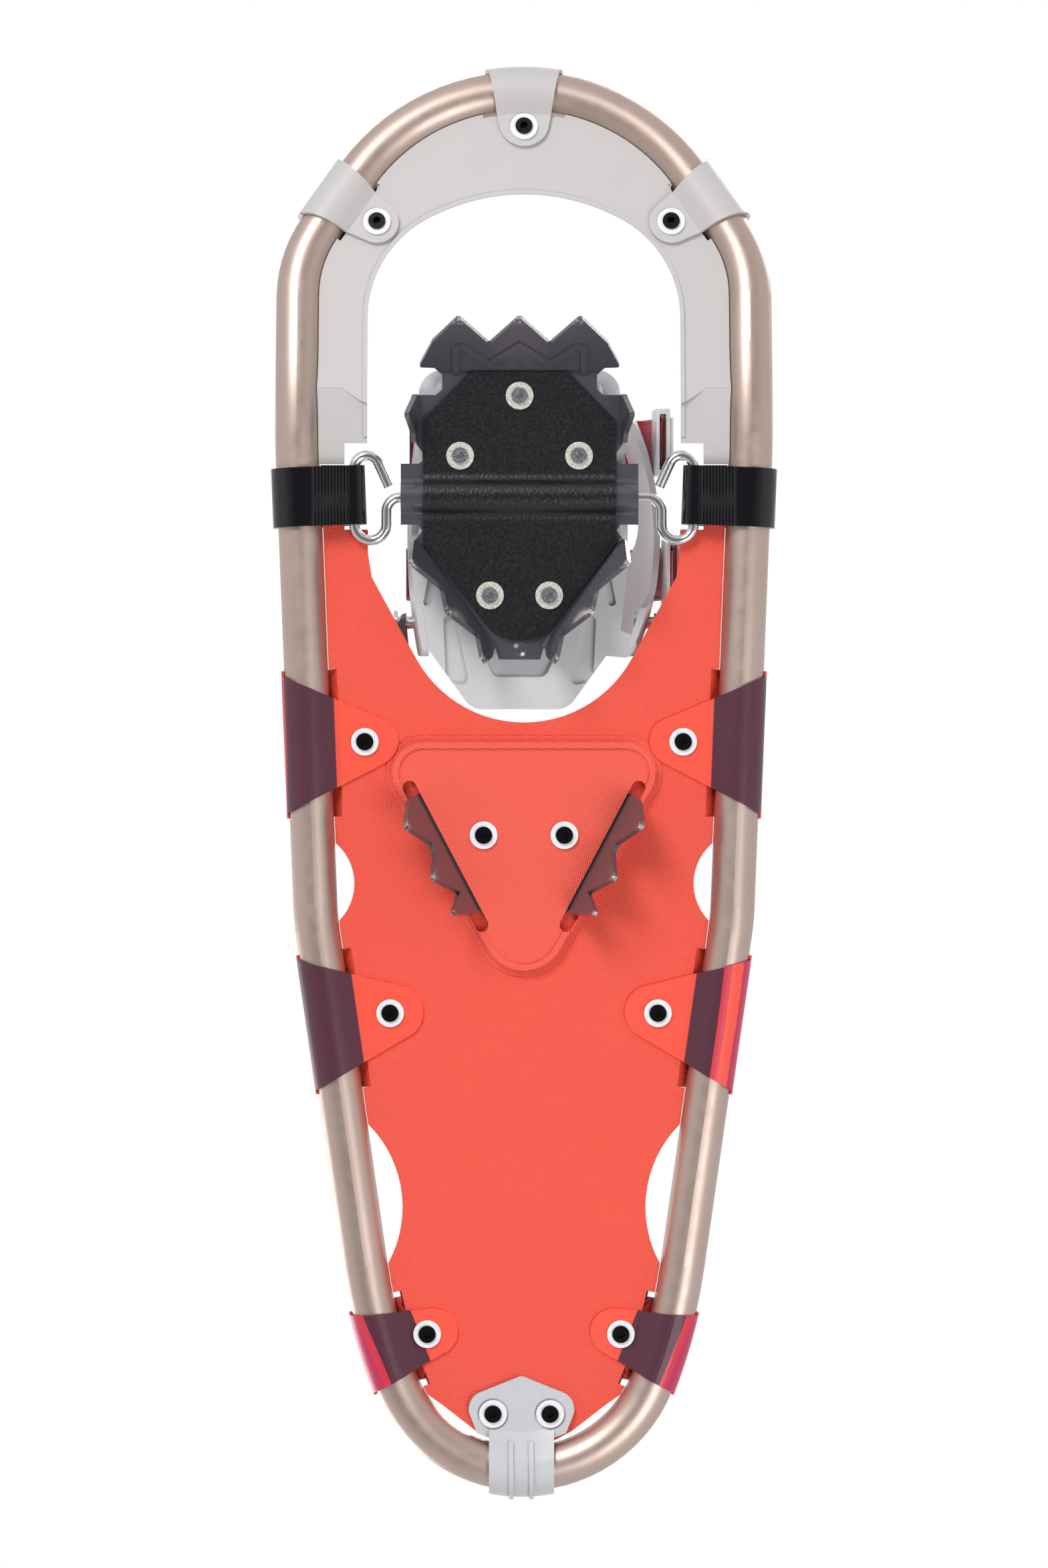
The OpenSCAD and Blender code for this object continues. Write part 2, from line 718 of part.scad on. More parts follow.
module axle_bushings()
    color([0.90, 0.90, 0.91])
    translate([bind_x, 0, 0]) for (x = [-ear_half, ear_half - 12])
        translate([x, axle_y, axle_z]) rotate([0, 90, 0]) difference() {
            cylinder(h = 12, r = bush_r);
            translate([0, 0, -1]) cylinder(h = 14, r = rod_r + 0.05);
        }

// ---------------------------------------------------------------- binding base and wings

wing_y = -101;
bulge_r = 70;
bulge_z = 18;

// Wall of a side wing: bulges outward in plan and in height.
module wing_wall(plan_r, out_x)
    translate([out_x - plan_r, wing_y, 0]) rotate(-90) rotate_extrude(angle = 180)
        intersection() {
            translate([plan_r - bulge_r, bulge_z]) difference() {
                circle(bulge_r);
                circle(bulge_r - wing_t);
            }
            translate([plan_r - bulge_r / 2, -10]) square([bulge_r, 90]);
        }

// Side view of a wing, y along and z up.
module wing_side() {
    difference() {
        tangent_hull([[-157, 4, 4], [-56, 4, 4], [-63, 30, 9], [-80, 57, 8], [-140, 46, 8],
            [-153, 26, 8]]);
        // dip between the two lobes, and the arch over the pivot
        translate([-111, 66]) circle(21);
        tangent_hull([[-137, -6, 12], [-82, -6, 12], [-90, 9, 12], [-127, 9, 12]]);
        // slots for the webbing
        tangent_hull([[-151, 46.4, 2.1], [-129, 46.4, 2.1]]);
        tangent_hull([[-98, 57, 1.6], [-76, 57, 1.6]]);
    }
}

module base_outline() {
    tangent_hull([[-31, -158.5, 10], [31, -158.5, 10], [38, -118, 6], [38, -88, 6], [35, -62, 6],
        [15, -39.5, 9], [-15, -39.5, 9], [-35, -62, 6], [-38, -88, 6], [-38, -118, 6]]);
    // ears that carry the right wing
    tangent_hull([[28, -157.5, 8.8], [37.5, -152.5, 7]]);
    tangent_hull([[28, -60, 7], [42.5, -56.5, 5]]);
}

module base_slab() {
    translate([0, 0, base_z]) linear_extrude(base_t) base_outline();
    // thick middle that carries the crampon
    translate([0, 0, axle_z + 0.05]) linear_extrude(base_z - axle_z)
        tangent_hull([[-26, -158, 8], [26, -158, 8], [36, -118, 5], [36, -101, 5],
            [0, -74, 19], [-36, -101, 5], [-36, -118, 5]]);
}

module base_pockets()
    translate([0, 0, base_z - 10]) linear_extrude(12.2) {
        tangent_hull([[-14, -58, 3], [14, -58, 3], [8, -47.5, 4], [-8, -47.5, 4]]);
        both_sides() {
            tangent_hull([[23.5, -43, 2.6], [28.5, -66, 2.6], [27.5, -44, 2.6]]);
            tangent_hull([[36, -82, 1.6], [37.6, -74, 1.6]]);
        }
    }

module binding_base() {
    color([0.84, 0.84, 0.83])
    translate([bind_x, 0, 0]) difference() {
        union() {
            difference() {
                base_slab();
                base_pockets();
            }
            intersection() {
                union() {
                    wing_wall(120, 57.8);
                    mirror([1, 0, 0]) wing_wall(260, 46.2);
                }
                translate([-100, 0, 0]) rotate([90, 0, 90]) linear_extrude(200) wing_side();
            }
            // tread bars under the sole
            for (y = [-150, -143, -99, -92, -68, -61, -54])
                translate([-26, y, base_top - eps]) cube([52, 2.4, 1]);
            // flat bed under the ball of the foot
            translate([0, 0, base_top - eps]) linear_extrude(1)
                tangent_hull([[-23, -125, 3], [23, -125, 3], [23, -108, 3], [-23, -108, 3]]);
        }
        translate([-80, axle_y, axle_z]) rotate([0, 90, 0]) cylinder(h = 160, r = channel_r);
        binding_rivet_places() {
            translate([0, 0, -20]) cylinder(h = 40, r = rivet_hole_r);
            translate([0, 0, base_top - 1.45]) cylinder(h = 4, r = 4.7);
        }
        // holes for the heel strap pivots
        heel_pivot_line() cylinder(h = 200, r = 2.55);
    }
}

// ---------------------------------------------------------------- webbing and sliders

toe_web_y = -151;
instep_web_y = -98;
web_w = 22;
toe_web_path = [[58.8, 12], [57.5, 24], [55.9, 34], [53.4, 42], [49.8, 46.1], [44, 46.4], [38, 46.6],
    [35.2, 50.5], [31.5, 62], [23.5, 73.5], [12, 80], [-3, 81.5], [-16, 77.5], [-24.5, 69], [-28, 58],
    [-29.9, 50], [-33.6, 46.6], [-39.4, 46.3], [-42.8, 42.6], [-44.8, 36]];
instep_web_path = [[63.5, 10], [61.4, 24], [59.4, 38], [55.2, 48.5], [47.5, 59], [40, 74], [28, 87],
    [12, 94.5], [-4, 95], [-19, 89], [-29, 78], [-34, 66], [-36.6, 59], [-43, 51], [-46.4, 43]];

module webbing(path, y)
    translate([bind_x, y + web_w, 0]) rotate([90, 0, 0]) linear_extrude(web_w)
        strip2d(path, web_t);

module toe_webbing() color([0.80, 0.05, 0.16]) webbing(toe_web_path, toe_web_y);

module instep_webbing() color([0.80, 0.05, 0.16]) webbing(instep_web_path, instep_web_y);

// Sleeve round the webbing with a gripping lip; local x is outward, z along the webbing.
module slider()
    difference() {
        union() {
            translate([-2.6, -2.5, 0]) cube([5.6, web_w + 5, 14]);
            translate([2.9, 1, 1]) cube([1.6, web_w - 2, 3]);
            translate([2.9, 1, 6]) cube([1.2, web_w - 2, 2]);
            translate([2.9, 1, 10]) cube([1.2, web_w - 2, 2]);
        }
        translate([-1.3, -0.4, -1]) cube([2.6, web_w + 0.8, 16]);
    }

module toe_slider()
    color([0.88, 0.88, 0.88])
    translate([bind_x + 58.65, toe_web_y, 13]) rotate([0, -6.5, 0]) slider();

module instep_slider()
    color([0.88, 0.88, 0.88])
    translate([bind_x + 63.0, instep_web_y, 13]) rotate([0, -8.5, 0]) slider();

// ---------------------------------------------------------------- heel strap

heel_tilt = 9;
heel_pivot_y = -66;
heel_pivot_z = 15;
heel_ends = [[-46.6, heel_pivot_y, 3], [55.3, heel_pivot_y, 3]];

module heel_pivot_line()
    translate([-100, heel_pivot_y, heel_pivot_z]) rotate([0, 90, 0]) children();

module heel_strap_plan() {
    t = heel_strap_t;
    difference() {
        tangent_hull([[heel_ends[0][0], heel_pivot_y, t], [heel_ends[1][0], heel_pivot_y, t],
            [2, 48, 38 + t]]);
        tangent_hull([[heel_ends[0][0], heel_pivot_y, 0], [heel_ends[1][0], heel_pivot_y, 0],
            [2, 48, 38]]);
        translate([heel_ends[0][0], heel_pivot_y - 30])
            square([heel_ends[1][0] - heel_ends[0][0], 31]);
    }
}

module heel_tilted()
    translate([0, heel_pivot_y, heel_pivot_z]) rotate([heel_tilt, 0, 0])
        translate([0, -heel_pivot_y, -heel_pivot_z]) children();

// Narrow arms and a deeper cup behind the heel.
module heel_strap() {
    color([0.36, 0.33, 0.32])
    translate([bind_x, 0, 0]) heel_tilted() difference() {
        union() {
            translate([0, 0, heel_pivot_z - 8]) linear_extrude(16) heel_strap_plan();
            translate([0, 0, heel_pivot_z - 11]) linear_extrude(30) intersection() {
                heel_strap_plan();
                translate([-60, 34]) square([120, 80]);
            }
        }
        // sloping shoulders of the cup
        translate([-100, 34, heel_pivot_z + 8]) rotate([42, 0, 0]) cube([200, 60, 40]);
        heel_pivot_line() cylinder(h = 200, r = 2.55);
        // adjusting holes
        for (y = [-44 : 9 : -17])
            translate([-100, y, heel_pivot_z]) rotate([0, 90, 0]) cylinder(h = 200, r = 2);
    }
}

module heel_pivot(x, dir)
    translate([x, heel_pivot_y, heel_pivot_z]) rotate([0, 90 * dir, 0]) {
        translate([0, 0, -7.5]) cylinder(h = 11, r = 2.5);
        translate([0, 0, 3.4]) cylinder(h = 1.4, r = 5);
        translate([0, 0, -8.7]) cylinder(h = 1.4, r = 5);
    }

module heel_pivots()
    color([0.72, 0.73, 0.74])
    translate([bind_x, 0, 0]) {
        heel_pivot(heel_ends[1][0], 1);
        heel_pivot(heel_ends[0][0], -1);
    }

// ---------------------------------------------------------------- heel buckle and lever

buckle_y = 4;
buckle_len = 34;
buckle_h = 20;
pin_r = 1.5;
pin_at = [6.2, 6 - buckle_len / 2];
arm_angle = 7.5;         // how far the right arm turns inward

// Frame on the right arm: x outward from the arm's outer face, y along the arm, z up.
module on_arm()
    translate([bind_x, 0, 0]) heel_tilted()
        translate([49.5, buckle_y, heel_pivot_z + 1]) rotate(arm_angle) children();

module heel_buckle() {
    color([0.88, 0.88, 0.88])
    on_arm() difference() {
        union() {
            translate([0, -buckle_len / 2, -buckle_h / 2]) cube([4, buckle_len, buckle_h]);
            for (z = [-buckle_h / 2, buckle_h / 2 - 3])
                translate([3.5, -buckle_len / 2, z]) linear_extrude(3)
                    tangent_hull([[0, 2.5, 2], [2.7, 6, 3.2], [0, 11, 2]]);
        }
        translate([pin_at[0], pin_at[1], -30]) cylinder(h = 60, r = pin_r);
        // recess under the lever
        translate([2.6, -buckle_len / 2 + 1, -buckle_h / 2 + 3]) cube([10, 40, buckle_h - 6]);
    }
}

module lever_pin()
    color([0.70, 0.71, 0.72])
    on_arm() translate([pin_at[0], pin_at[1], -buckle_h / 2])
        cylinder(h = buckle_h, r = pin_r - 0.02);

module heel_lever() {
    color([0.30, 0.29, 0.29])
    on_arm() difference() {
        translate([0, 0, -6.6]) linear_extrude(13.2) {
            translate(pin_at) circle(2.9);
            tangent_hull([[6.6, pin_at[1] + 1, 1.8], [6.2, 12, 1.8]]);
            tangent_hull([[6.2, 12, 1.8], [8.2, 18, 1.3]]);
        }
        translate([pin_at[0], pin_at[1], -30]) cylinder(h = 60, r = pin_r + 0.05);
    }
}

// ---------------------------------------------------------------- parts

place() frame_tube();
place() toe_deck();
place() deck();
place() heel_patch();
place() heel_crampon();
place() tail_clip();
place() strap_left();
place() strap_right();
place() axle_rod();
place() toe_rivets();
place() toe_washers();
place() deck_rivets();
place() deck_washers();
place() heel_rivets();
place() heel_washers();
place() clip_rivets();
place() clip_washers();
place() toe_crampon();
place() pivot_plate();
place() axle_bushings();
place() binding_base();
place() binding_rivets();
place() binding_washers();
place() toe_webbing();
place() instep_webbing();
place() toe_slider();
place() instep_slider();
place() heel_strap();
place() heel_pivots();
place() heel_buckle();
place() heel_lever();
place() lever_pin();
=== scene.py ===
"""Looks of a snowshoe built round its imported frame. Metres, +Z up, toe towards -Y."""

import json
import math

import bmesh
import bpy
import numpy as np
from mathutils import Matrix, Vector


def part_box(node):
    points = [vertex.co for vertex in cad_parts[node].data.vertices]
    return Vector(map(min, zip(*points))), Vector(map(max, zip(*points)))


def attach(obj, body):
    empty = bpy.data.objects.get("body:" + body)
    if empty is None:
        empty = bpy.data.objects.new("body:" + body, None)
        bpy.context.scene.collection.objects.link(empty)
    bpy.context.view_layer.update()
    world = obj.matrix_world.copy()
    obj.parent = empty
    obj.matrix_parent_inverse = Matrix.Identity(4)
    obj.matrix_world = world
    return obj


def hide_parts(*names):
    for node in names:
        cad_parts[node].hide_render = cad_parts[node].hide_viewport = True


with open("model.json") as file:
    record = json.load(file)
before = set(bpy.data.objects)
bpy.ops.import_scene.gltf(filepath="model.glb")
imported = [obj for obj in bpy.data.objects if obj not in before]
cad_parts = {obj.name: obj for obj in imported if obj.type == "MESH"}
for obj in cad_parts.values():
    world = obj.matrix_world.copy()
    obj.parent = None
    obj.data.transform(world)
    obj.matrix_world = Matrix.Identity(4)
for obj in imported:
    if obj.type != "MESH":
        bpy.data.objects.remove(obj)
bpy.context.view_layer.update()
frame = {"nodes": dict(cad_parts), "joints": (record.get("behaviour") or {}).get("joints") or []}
nodes = frame["nodes"]

MM = 0.001
joints = {j["name"]: j for j in frame["joints"]}
pivot = Vector(joints["binding_pivot"]["pos_m"])
AXLE_Y, AXLE_Z = -116.3, -4.2          # the pivot wire in the part's own millimetres
SHIFT_Y = pivot.y - AXLE_Y * MM
TUBE_Z = pivot.z - AXLE_Z * MM         # height of the frame tube's axis
BIND_X = -1.8                          # middle line of the binding, mm
DECK_Z, DECK_T = -1.5, 1.0             # deck's underside and thickness, mm


def place(x, y, z):
    """A point in the part's own millimetres, as metres in the row frame."""
    return Vector((x * MM, y * MM + SHIFT_Y, z * MM + TUBE_Z))


# ------------------------------------------------------------------ materials

class Shader:
    """A Principled material with short helpers for its node tree."""

    def __init__(self, name, color, rough, metallic=0.0, **sockets):
        self.mat = bpy.data.materials.new(name)
        self.mat.use_nodes = True
        self.tree = self.mat.node_tree
        self.bsdf = self.tree.nodes["Principled BSDF"]
        self.set("Base Color", (*color, 1))
        self.set("Roughness", rough)
        self.set("Metallic", metallic)
        for key, value in sockets.items():
            self.set(key.replace("_", " "), value)
        self.mat.diffuse_color = (*color, 1)
        self.height = None

    def set(self, socket, value):
        self.bsdf.inputs[socket].default_value = value

    def new(self, kind, **props):
        node = self.tree.nodes.new(kind)
        for key, value in props.items():
            setattr(node, key, value)
        return node

    def feed(self, socket, source):
        """Links a socket, or gives it a plain value."""
        if isinstance(source, bpy.types.NodeSocket):
            self.tree.links.new(source, socket)
        else:
            socket.default_value = source

    def coords(self, scale=(1, 1, 1), rotate=(0, 0, 0), kind="Object"):
        tex = self.new("ShaderNodeTexCoord")
        mapping = self.new("ShaderNodeMapping")
        mapping.inputs["Scale"].default_value = scale
        mapping.inputs["Rotation"].default_value = rotate
        self.feed(mapping.inputs["Vector"], tex.outputs[kind])
        return mapping.outputs["Vector"]

    def noise(self, scale, detail=3.0, vector=None, rough=0.5):
        node = self.new("ShaderNodeTexNoise")
        self.feed(node.inputs["Vector"], vector or self.coords())
        node.inputs["Scale"].default_value = scale
        node.inputs["Detail"].default_value = detail
        node.inputs["Roughness"].default_value = rough
        return node.outputs["Fac"]

    def cells(self, scale, vector=None, feature="F1"):
        node = self.new("ShaderNodeTexVoronoi", feature=feature)
        self.feed(node.inputs["Vector"], vector or self.coords())
        node.inputs["Scale"].default_value = scale
        return node.outputs["Distance"]

    def math(self, op, a, b=0.0, clamp=False):
        node = self.new("ShaderNodeMath", operation=op, use_clamp=clamp)
        self.feed(node.inputs[0], a)
        self.feed(node.inputs[1], b)
        return node.outputs[0]

    def ramp(self, value, low, high, to_low=0.0, to_high=1.0):
        node = self.new("ShaderNodeMapRange", clamp=True)
        for socket, given in zip(node.inputs[:5], (value, low, high, to_low, to_high)):
            self.feed(socket, given)
        return node.outputs[0]

    def mix(self, share, a, b):
        node = self.new("ShaderNodeMix", data_type="RGBA")
        self.feed(node.inputs[0], share)
        self.feed(node.inputs[6], a if isinstance(a, bpy.types.NodeSocket) else (*a, 1))
        self.feed(node.inputs[7], b if isinstance(b, bpy.types.NodeSocket) else (*b, 1))
        return node.outputs[2]

    def xyz(self, vector=None):
        node = self.new("ShaderNodeSeparateXYZ")
        self.feed(node.inputs[0], vector or self.coords())
        return node.outputs

    def color(self, source):
        self.feed(self.bsdf.inputs["Base Color"], source)

    def rough(self, source):
        self.feed(self.bsdf.inputs["Roughness"], source)

    def bump(self, height, distance, strength=1.0):
        """Adds a bump on top of the ones already there."""
        node = self.new("ShaderNodeBump")
        node.inputs["Strength"].default_value = strength
        node.inputs["Distance"].default_value = distance
        self.feed(node.inputs["Height"], height)
        if self.height is not None:
            self.feed(node.inputs["Normal"], self.height)
        self.height = node.outputs["Normal"]
        self.feed(self.bsdf.inputs["Normal"], self.height)


def shaded(s, color, amount=0.08, scale=60.0):
    """Base colour with a faint uneven tint."""
    darker = tuple(c * (1 - amount) for c in color)
    s.color(s.mix(s.noise(scale, 2.0), darker, color))


def tube_material():
    """Satin anodised aluminium: a soft sheen with very fine lengthwise lines."""
    s = Shader("anodised_tube", (0.54, 0.42, 0.36), 0.42, 0.92)
    s.color(s.mix(s.noise(30, 2.0), (0.51, 0.39, 0.335), (0.585, 0.46, 0.40)))
    s.rough(s.ramp(s.noise(160, 2.0), 0.3, 0.7, 0.39, 0.46))
    lines = s.noise(1.0, 2.0, s.coords((2600, 90, 2600)))
    s.bump(lines, 0.000012, 0.25)
    return s.mat


def moulded(name, color, rough=0.42, grain=0.00005, scale=1400, **sockets):
    s = Shader(name, color, rough, **sockets)
    shaded(s, color, 0.05)
    s.rough(s.ramp(s.noise(500, 2.0), 0.3, 0.7, rough - 0.06, rough + 0.08))
    s.bump(s.noise(scale, 2.0), grain, 0.5)
    return s.mat


def leather_grain(name, color):
    s = Shader(name, color, 0.34, **{"Specular_IOR_Level": 0.5})
    grain = s.cells(900, feature="SMOOTH_F1")
    s.rough(s.ramp(grain, 0.1, 0.7, 0.26, 0.42))
    s.color(s.mix(s.noise(70, 2.0), tuple(c * 0.75 for c in color), color))
    s.bump(grain, 0.00022, 0.55)
    s.bump(s.noise(1800, 3.0), 0.00008, 0.5)
    return s.mat


def powder_coat():
    s = Shader("powder_coat", (0.062, 0.060, 0.073), 0.22, 0.0, **{"Coat_Weight": 0.6, "Coat_Roughness": 0.16})
    height = s.xyz()[2]
    worn = s.math("MULTIPLY", s.ramp(height, 0.0006, 0.0026, 1.0, 0.0), s.ramp(s.noise(900, 4.0), 0.45, 0.62))
    s.color(s.mix(worn, (0.062, 0.060, 0.073), (0.42, 0.42, 0.43)))
    s.rough(s.ramp(s.noise(700, 3.0), 0.3, 0.7, 0.16, 0.28))
    s.bump(s.noise(600, 2.0), 0.00007, 0.35)
    return s.mat


def urethane():
    s = Shader("urethane", (0.003, 0.003, 0.005), 0.12, **{"Specular_IOR_Level": 0.5})
    x = s.xyz()[0]
    side = s.math("ABSOLUTE", x)
    ribs = s.math("SINE", s.math("MULTIPLY", side, 2 * math.pi / 0.0013))
    # ribs over the middle of the run between rail and wire
    band = s.math("MULTIPLY", s.ramp(side, 0.0705, 0.0725), s.ramp(side, 0.0845, 0.0865, 1.0, 0.0))
    s.bump(s.math("MULTIPLY", ribs, band), 0.00045, 1.0)
    s.bump(s.noise(60, 2.0), 0.0022, 0.22)
    s.rough(s.ramp(s.noise(250, 3.0), 0.35, 0.7, 0.07, 0.16))
    return s.mat


def bare_metal(name, color, rough, scale=1500):
    s = Shader(name, color, rough, 1.0)
    s.color(s.mix(s.noise(300, 3.0), tuple(c * 0.86 for c in color), color))
    s.rough(s.ramp(s.noise(scale, 3.0), 0.3, 0.7, rough * 0.7, rough * 1.4))
    s.bump(s.noise(scale, 2.0), 0.00003, 0.4)
    return s.mat


def rail_line(s, x, y):
    """How far a point lies inward of the frame tube's centre line, roughly, along the rails."""
    front = s.math("ADD", s.math("MULTIPLY", y, -0.0395), 0.0870)
    rear = s.math("ADD", s.math("MULTIPLY", y, -0.1435), 0.0925)
    tail = s.math("ADD", s.math("MULTIPLY", y, -0.40), 0.1436)
    rail = s.math("MINIMUM", s.math("MINIMUM", front, rear), tail)
    return s.math("SUBTRACT", rail, s.math("ABSOLUTE", x))


CORAL = (0.93, 0.095, 0.055)
PLUM = (0.085, 0.020, 0.038)
MAGENTA = (0.52, 0.018, 0.085)
CHERRY = (0.63, 0.03, 0.06)


def printed_fabric():
    """The deck's upper face: a coral ground with broad plum and magenta strokes."""
    s = Shader("printed_fabric", CORAL, 0.36, **{"Specular_IOR_Level": 0.45})
    x, y, _ = s.xyz()
    inward = rail_line(s, x, y)
    sway = s.math("MULTIPLY", s.math("SUBTRACT", s.noise(9, 1.0), 0.5), 0.010)
    # plum covers the rails, and only the middle tab of the buckle side shows what lies beyond it
    middle_tab = s.math("MULTIPLY", s.ramp(y, 0.02, 0.07), s.ramp(y, 0.14, 0.19, 1.0, 0.0))
    slant = s.math("MULTIPLY", s.math("MULTIPLY", s.ramp(x, -0.01, 0.01), middle_tab), 0.011)
    u = s.math("ADD", s.math("SUBTRACT", inward, slant), sway)
    plum = s.math("MULTIPLY", s.ramp(inward, 0.0108, 0.0112, 1.0, 0.0), s.ramp(u, -0.0103, -0.0100))
    wine = s.math("MULTIPLY", s.ramp(u, -0.0135, -0.0132), s.ramp(u, -0.0103, -0.0100, 1.0, 0.0))
    edge = s.ramp(s.math("ADD", inward, sway), -0.0072, -0.0069, 1.0, 0.0)
    low = s.ramp(s.noise(700, 3.0), 0.3, 0.7)
    ground = s.mix(low, tuple(c * 0.93 for c in CORAL), CORAL)
    # brush strokes over the middle of the deck
    strokes = s.noise(1.0, 3.0, s.coords((20, 6.5, 1), (0, 0, 0.5)), 0.55)
    broad = s.noise(1.0, 2.0, s.coords((9, 4.0, 1), (0, 0, -0.42)), 0.5)
    middle = s.ramp(inward, 0.036, 0.042)
    first = s.math("MULTIPLY", s.ramp(strokes, 0.565, 0.575), middle)
    second = s.math("MULTIPLY", s.ramp(broad, 0.585, 0.592), middle)
    colors = s.mix(first, ground, MAGENTA)
    colors = s.mix(second, colors, PLUM)
    colors = s.mix(edge, colors, MAGENTA)
    colors = s.mix(wine, colors, CHERRY)
    colors = s.mix(plum, colors, PLUM)
    s.color(colors)
    s.bump(s.noise(1500, 3.0), 0.00006, 0.6)
    return s.mat


def diamond_weave(name, color, pitch=0.00115):
    """Coated fabric whose base cloth shows through as small diamonds."""
    s = Shader(name, color, 0.34, **{"Specular_IOR_Level": 0.5})
    x, y, _ = s.xyz(s.coords((1, 1, 1), (0, 0, math.radians(38))))
    a = s.math("SINE", s.math("MULTIPLY", x, 2 * math.pi / pitch))
    b = s.math("SINE", s.math("MULTIPLY", y, 2 * math.pi / pitch))
    nubs = s.math("MULTIPLY", s.math("ADD", s.math("MULTIPLY", a, b), 1.0), 0.5)
    s.bump(nubs, 0.00028, 1.0)
    s.bump(s.noise(26, 2.0), 0.0016, 0.35)
    low = tuple(c * 0.88 for c in color)
    s.color(s.mix(s.math("MULTIPLY", nubs, s.ramp(s.noise(40, 2.0), 0.2, 0.8, 0.7, 1.0)), low, color))
    s.rough(s.ramp(s.noise(900, 2.0), 0.3, 0.7, 0.30, 0.44))
    return s.mat


def woven(name, color):
    """Nylon webbing: ribs across, herringbone along, with painted shade in the grooves between the yarns; UV is
    metres across and along.
    """
    s = Shader(name, color, 0.62, **{"Sheen_Weight": 0.35, "Sheen_Roughness": 0.4})
    u, v, _ = s.xyz(s.coords(kind="UV"))
    rib = s.math("SINE", s.math("MULTIPLY", v, 2 * math.pi / 0.0011))
    warp = s.math("SINE", s.math("MULTIPLY", u, 2 * math.pi / 0.00125))
    cross = s.math("ABSOLUTE", s.math("MULTIPLY", rib, warp))
    s.bump(cross, 0.00020, 0.8)
    # painted shade: the grooves between the yarns are painted darker, following the weave's bump height
    s.color(s.mix(cross, tuple(c * 0.62 for c in color), color))
    return s.mat


def rubber(name, color):
    s = Shader(name, color, 0.55, **{"Specular_IOR_Level": 0.4})
    s.color(s.mix(s.noise(90, 3.0), tuple(c * 0.8 for c in color), color))
    s.rough(s.ramp(s.noise(700, 3.0), 0.3, 0.7, 0.48, 0.64))
    s.bump(s.noise(2600, 2.0), 0.00008, 0.6)
    return s.mat


looks = {
    "frame_tube": tube_material(),
    "toe_deck": moulded("toe_moulding", (0.53, 0.51, 0.50), 0.44),
    "tail_clip": moulded("clip_moulding", (0.56, 0.56, 0.58), 0.36),
    "binding_base": moulded("base_moulding", (0.57, 0.57, 0.58), 0.42, 0.00012, 1100),
    "heel_patch": diamond_weave("patch_film", (0.97, 0.105, 0.062)),
    "steel": powder_coat(),
    "urethane": urethane(),
    "wire": bare_metal("bright_zinc", (0.78, 0.79, 0.80), 0.16),
    "steel_rivet": bare_metal("zinc_rivet", (0.66, 0.68, 0.70), 0.24),
    "nickel": bare_metal("nickel_washer", (0.93, 0.89, 0.81), 0.42),
    "dark_rivet": bare_metal("black_rivet", (0.035, 0.035, 0.04), 0.20),
    "white": moulded("white_nylon", (0.86, 0.86, 0.87), 0.30),
    "slider": moulded("slider_moulding", (0.72, 0.72, 0.74), 0.30),
    "plate": leather_grain("pivot_plate_grain", (0.005, 0.005, 0.007)),
    "strap": rubber("heel_strap_rubber", (0.045, 0.040, 0.040)),
    "lever": moulded("lever_moulding", (0.03, 0.028, 0.028), 0.40),
}
wears = {
    "frame_tube": "frame_tube", "toe_deck": "toe_deck", "tail_clip": "tail_clip",
    "binding_base": "binding_base", "heel_patch": "heel_patch", "heel_crampon": "steel",
    "toe_crampon": "steel", "strap_left": "urethane", "strap_right": "urethane",
    "axle_rod": "wire", "toe_rivets": "dark_rivet", "deck_rivets": "dark_rivet",
    "heel_rivets": "dark_rivet", "clip_rivets": "dark_rivet", "toe_washers": "white",
    "deck_washers": "white", "heel_washers": "white", "clip_washers": "white",
    "pivot_plate": "plate", "axle_bushings": "white", "binding_rivets": "steel_rivet",
    "binding_washers": "nickel", "toe_slider": "slider", "instep_slider": "slider",
    "heel_strap": "strap", "heel_pivots": "steel_rivet", "heel_buckle": "slider",
    "heel_lever": "lever", "lever_pin": "steel_rivet",
}


def dress(obj, *materials):
    obj.data.materials.clear()
    for m in materials:
        obj.data.materials.append(m)


for node, look in wears.items():
    dress(nodes[node], looks[look])


# ------------------------------------------------------------------ pieces

def add_object(name, bm, smooth=True):
    mesh = bpy.data.meshes.new(name)
    bm.to_mesh(mesh)
    bm.free()
    obj = bpy.data.objects.new(name, mesh)
    bpy.context.scene.collection.objects.link(obj)
    for poly in mesh.polygons:
        poly.use_smooth = smooth
    return obj


def ease(t):
    t = min(max(t, 0.0), 1.0)
    return t * t * (3 - 2 * t)


CALM = [((16.4, 20.8), 22), ((-16.4, 20.8), 22), ((0, 18), 64), ((0, 258), 26)]   # kept flat: [place, radius], mm
RIVETS = [(64.5, -15.2), (-64.5, -15.2), (54.3, 95.0), (-54.3, 95.0), (35.5, 222.0), (-35.5, 222.0)]


def deck_lift(p):
    """How far the stretched fabric stands off its plane at a point: taut between tabs, slack at free edges."""
    x, y = p.x / MM, (p.y - SHIFT_Y) / MM
    hold = 1.0
    for (cx, cy), reach in CALM:
        hold *= ease((math.hypot(x - cx, y - cy) - reach * 0.8) / 16)
    for cx, cy in RIVETS:
        hold *= ease((math.hypot(x - cx, y - cy) - 26) / 18)
    hold *= ease((y + 88) / 20)
    wave = 0.55 * math.sin(y / 19 + 0.5 * math.sin(x / 17)) + 0.35 * math.sin(x / 13 + y / 27)
    return 0.9 * hold * wave * MM


